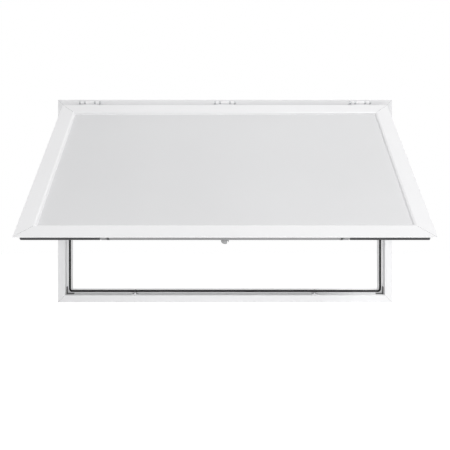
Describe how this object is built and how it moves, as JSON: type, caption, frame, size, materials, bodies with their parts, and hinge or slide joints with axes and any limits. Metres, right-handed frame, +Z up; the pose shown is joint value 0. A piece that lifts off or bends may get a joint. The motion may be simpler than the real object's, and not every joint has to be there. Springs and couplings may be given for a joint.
{
  "type": "concession window",
  "caption": "White aluminium serving window with a lapping wall flange and a top-hung solid awning door propped open by gas struts.",
  "frame": {"origin": "on the back face of the sill's flange, midway along the window, 15 mm above its lower edge", "axes": "+X along the window, +Y from the wall's outer face into the wall, +Z up"},
  "size_m": [1.524, 0.7646, 0.924],
  "materials": {
    "white_coat": "satin",
    "panel_coat": "satin",
    "panel_core": "matte",
    "black_rubber": "matte",
    "black_plastic": "matte",
    "bright_steel": "satin",
    "cast_grey": "satin",
    "strut_black": "satin",
    "strut_chrome": "polished"
  },
  "bodies": {
    "frame": {"corner_gusset_lower_left": "black_plastic", "corner_gusset_lower_right": "black_plastic", "corner_gusset_upper_left": "black_plastic", "corner_gusset_upper_right": "black_plastic", "frame_head": "white_coat", "frame_jamb_left": "white_coat", "frame_jamb_right": "white_coat", "frame_seal": "black_rubber", "frame_sill": "white_coat", "hinge_leaf_frame_centre": "white_coat", "hinge_leaf_frame_left": "white_coat", "hinge_leaf_frame_right": "white_coat", "hinge_pin_centre": "cast_grey", "hinge_pin_left": "cast_grey", "hinge_pin_right": "cast_grey", "striker_left": "bright_steel", "striker_right": "bright_steel", "strut_bracket_frame_left": "bright_steel", "strut_bracket_frame_right": "bright_steel"},
    "door": {"bottom_seal_left": "black_rubber", "bottom_seal_right": "black_rubber", "door_core": "panel_core", "door_rail_bottom": "white_coat", "door_rail_top": "white_coat", "door_skin_inner": "panel_coat", "door_skin_outer": "panel_coat", "door_stile_left": "white_coat", "door_stile_right": "white_coat", "hinge_leaf_door_centre": "white_coat", "hinge_leaf_door_left": "white_coat", "hinge_leaf_door_right": "white_coat", "latch_case": "cast_grey", "latch_cover": "cast_grey", "latch_fork_left": "cast_grey", "latch_fork_right": "cast_grey", "latch_rod_left": "bright_steel", "latch_rod_right": "bright_steel", "lock_knob": "cast_grey", "lock_rose": "cast_grey", "strut_bracket_door_left": "bright_steel", "strut_bracket_door_right": "bright_steel"},
    "strut_rod_left": {"strut_rod_left": "strut_chrome"},
    "strut_cylinder_left": {"strut_cylinder_left": "strut_black"},
    "strut_rod_right": {"strut_rod_right": "strut_chrome"},
    "strut_cylinder_right": {"strut_cylinder_right": "strut_black"}
  },
  "joints": [
    {"name": "door_hinge", "type": "hinge", "parent": "frame", "child": "door", "pos_m": [0, -0.0115, 0.894], "axis": [-1, 0, 0], "range_deg": [-51, 0]},
    {"name": "strut_pivot_left", "type": "hinge", "parent": "door", "child": "strut_rod_left", "pos_m": [-0.69, -0.29121, 0.6038], "axis": [-1, 0, 0], "range_deg": [-3.06, 0]},
    {"name": "strut_slide_left", "type": "slide", "parent": "strut_rod_left", "child": "strut_cylinder_left", "axis": [0, 0.809, 0.5878], "range_m": [-0.05909, 0]},
    {"name": "strut_pivot_right", "type": "hinge", "parent": "door", "child": "strut_rod_right", "pos_m": [0.69, -0.29121, 0.6038], "axis": [-1, 0, 0], "range_deg": [-3.06, 0]},
    {"name": "strut_slide_right", "type": "slide", "parent": "strut_rod_right", "child": "strut_cylinder_right", "axis": [0, 0.809, 0.5878], "range_m": [-0.05909, 0]}
  ],
  "couplings": [
    {"joint": "strut_pivot_left", "follows": "door_hinge", "ratio": 0.058792},
    {"joint": "strut_slide_left", "follows": "door_hinge", "m_per_rad": 0.065082},
    {"joint": "strut_pivot_right", "follows": "door_hinge", "ratio": 0.058792},
    {"joint": "strut_slide_right", "follows": "door_hinge", "m_per_rad": 0.065082}
  ]
}
